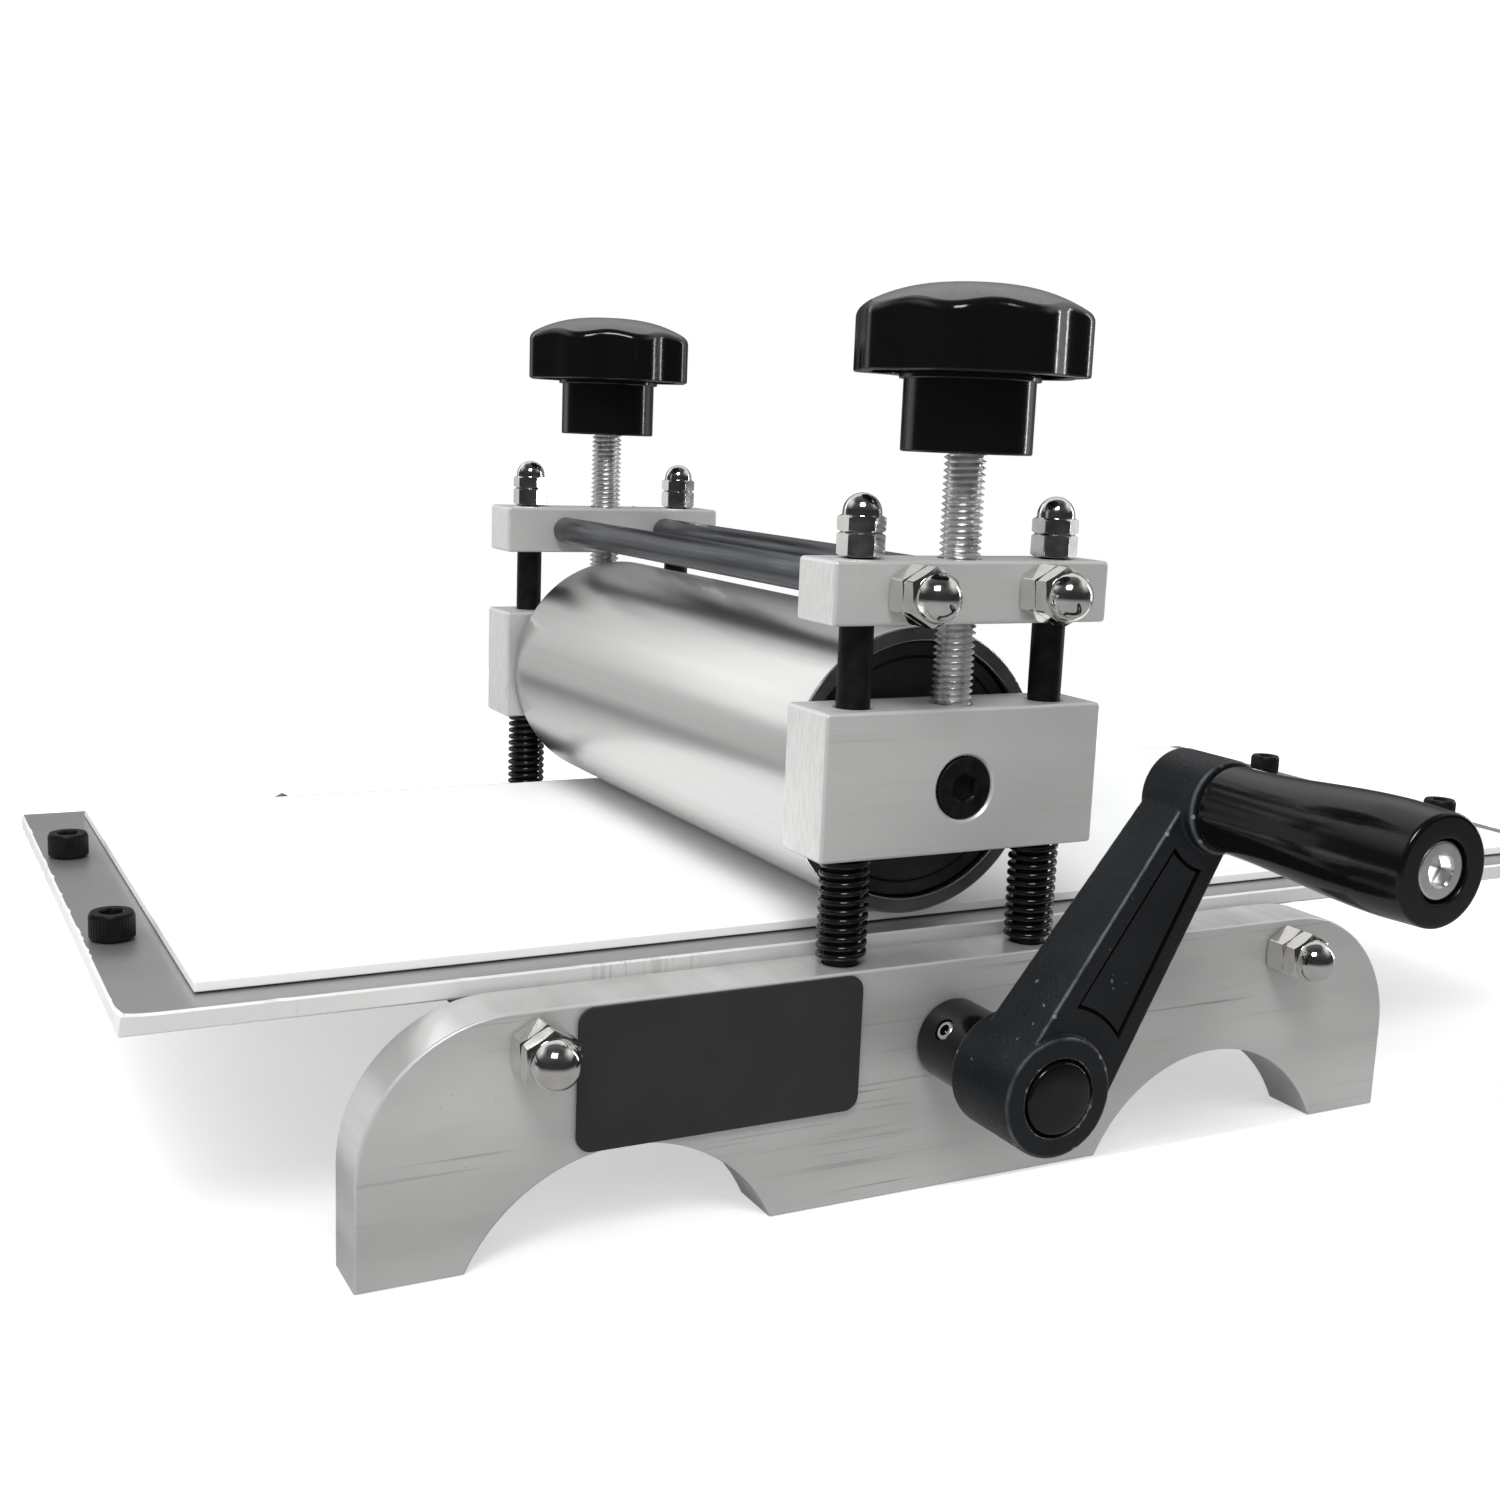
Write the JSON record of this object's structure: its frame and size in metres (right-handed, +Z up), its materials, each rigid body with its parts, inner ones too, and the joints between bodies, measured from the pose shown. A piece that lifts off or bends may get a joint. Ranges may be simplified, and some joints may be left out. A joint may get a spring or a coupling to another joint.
{
  "type": "table top etching press",
  "caption": "Hand cranked table top etching press: a bed slides between two rollers held in arched side plates, with lobed pressure knobs and a side crank.",
  "frame": {"origin": "under the middle foot of the crank side plate, at mid thickness, straight below the axes of both rollers, on the table", "axes": "+X along the travel of the bed, +Y from the crank side to the far side, +Z up"},
  "size_m": [0.36, 0.2884, 0.1761],
  "materials": {
    "drawn_aluminium": "fine drawn lines along the length, satin",
    "bed_metal": "flat grey rolled face with bright sawn edges",
    "turned_metal": "turned and ground, satin bright",
    "dark_end_metal": "dark grey, low sheen",
    "dark_rod_steel": "blued, satin",
    "black_steel": "black oxide, matte",
    "spring_steel": "black, glossy",
    "nickel": "polished nickel",
    "zinc_screw": "bright zinc plate",
    "bronze": "sintered bronze, satin",
    "bearing_steel": "ground, bright",
    "gloss_black": "moulded, glossy black",
    "crank_paint": "fine textured dark powder coat",
    "blank_label": "blank, matte dark grey",
    "white_board": "plain white, satin"
  },
  "bodies": {
    "frame": {"base_nut_crank_left": "nickel", "base_nut_crank_right": "nickel", "base_nut_far_left": "nickel", "base_nut_far_right": "nickel", "base_rod_left": "dark_rod_steel", "base_rod_right": "dark_rod_steel", "guide_post_crank_left": "black_steel", "guide_post_crank_right": "black_steel", "guide_post_far_left": "black_steel", "guide_post_far_right": "black_steel", "label_plate": "blank_label", "post_nut_crank_left": "nickel", "post_nut_crank_right": "nickel", "post_nut_far_left": "nickel", "post_nut_far_right": "nickel", "return_spring_crank_left": "spring_steel", "return_spring_crank_right": "spring_steel", "return_spring_far_left": "spring_steel", "return_spring_far_right": "spring_steel", "shaft_bush_crank": "bronze", "shaft_bush_far": "bronze", "side_plate_crank": "drawn_aluminium", "side_plate_far": "drawn_aluminium", "top_block_crank": "drawn_aluminium", "top_block_far": "drawn_aluminium", "top_nut_crank_left": "nickel", "top_nut_crank_right": "nickel", "top_nut_far_left": "nickel", "top_nut_far_right": "nickel", "top_rod_left": "dark_rod_steel", "top_rod_right": "dark_rod_steel"},
    "carriage": {"bearing_block_crank": "drawn_aluminium", "bearing_block_far": "drawn_aluminium", "roller_pivot_crank": "black_steel", "roller_pivot_far": "black_steel"},
    "upper_roller": {"upper_roller": "turned_metal", "roller_end_crank": "dark_end_metal", "roller_end_far": "dark_end_metal", "roller_bearing_crank": "bearing_steel", "roller_bearing_far": "bearing_steel"},
    "pressure_screw_crank": {"pressure_screw_crank": "zinc_screw", "knob_crank": "gloss_black"},
    "pressure_screw_far": {"pressure_screw_far": "zinc_screw", "knob_far": "gloss_black"},
    "crank": {"drive_shaft": "bearing_steel", "lower_roller": "turned_metal", "crank_arm": "crank_paint", "crank_hub_cap": "gloss_black", "crank_set_screw": "zinc_screw", "grip_screw": "zinc_screw", "shaft_clip": "black_steel"},
    "grip": {"crank_grip": "gloss_black"},
    "bed": {"bed_plate": "bed_metal", "press_board": "white_board", "stop_screw_left_crank": "black_steel", "stop_screw_left_far": "black_steel", "stop_screw_right_crank": "black_steel", "stop_screw_right_far": "black_steel"}
  },
  "joints": [
    {"name": "crank_turn", "type": "hinge", "parent": "frame", "child": "crank", "pos_m": [0, 0, 0.0313], "axis": [0, 1, 0], "range_deg": [-736, 532]},
    {"name": "grip_spin", "type": "hinge", "parent": "crank", "child": "grip", "pos_m": [0.03609, 0, 0.08208], "axis": [0, 1, 0], "continuous": true},
    {"name": "bed_slide", "type": "slide", "parent": "frame", "child": "bed", "axis": [1, 0, 0], "range_m": [-0.18, 0.13]},
    {"name": "carriage_lift", "type": "slide", "parent": "frame", "child": "carriage", "axis": [0, 0, 1], "range_m": [0, 0.005], "deforming": ["return_spring_crank_left", "return_spring_crank_right", "return_spring_far_left", "return_spring_far_right"]},
    {"name": "upper_roller_spin", "type": "hinge", "parent": "carriage", "child": "upper_roller", "pos_m": [0, 0.088, 0.0814], "axis": [0, 1, 0], "range_deg": [-253, 350]},
    {"name": "knob_turn_crank", "type": "hinge", "parent": "carriage", "child": "pressure_screw_crank", "pos_m": [0, 0, 0.1], "axis": [0, 0, 1], "range_deg": [0, 1440]},
    {"name": "knob_turn_far", "type": "hinge", "parent": "carriage", "child": "pressure_screw_far", "pos_m": [0, 0.176, 0.1], "axis": [0, 0, 1], "range_deg": [0, 1440]}
  ],
  "couplings": [
    {"joint": "bed_slide", "follows": "crank_turn", "m_per_rad": 0.014},
    {"joint": "upper_roller_spin", "follows": "crank_turn", "ratio": -0.47458},
    {"joint": "knob_turn_crank", "follows": "carriage_lift", "rad_per_m": 5026.5},
    {"joint": "knob_turn_far", "follows": "carriage_lift", "rad_per_m": 5026.5}
  ]
}
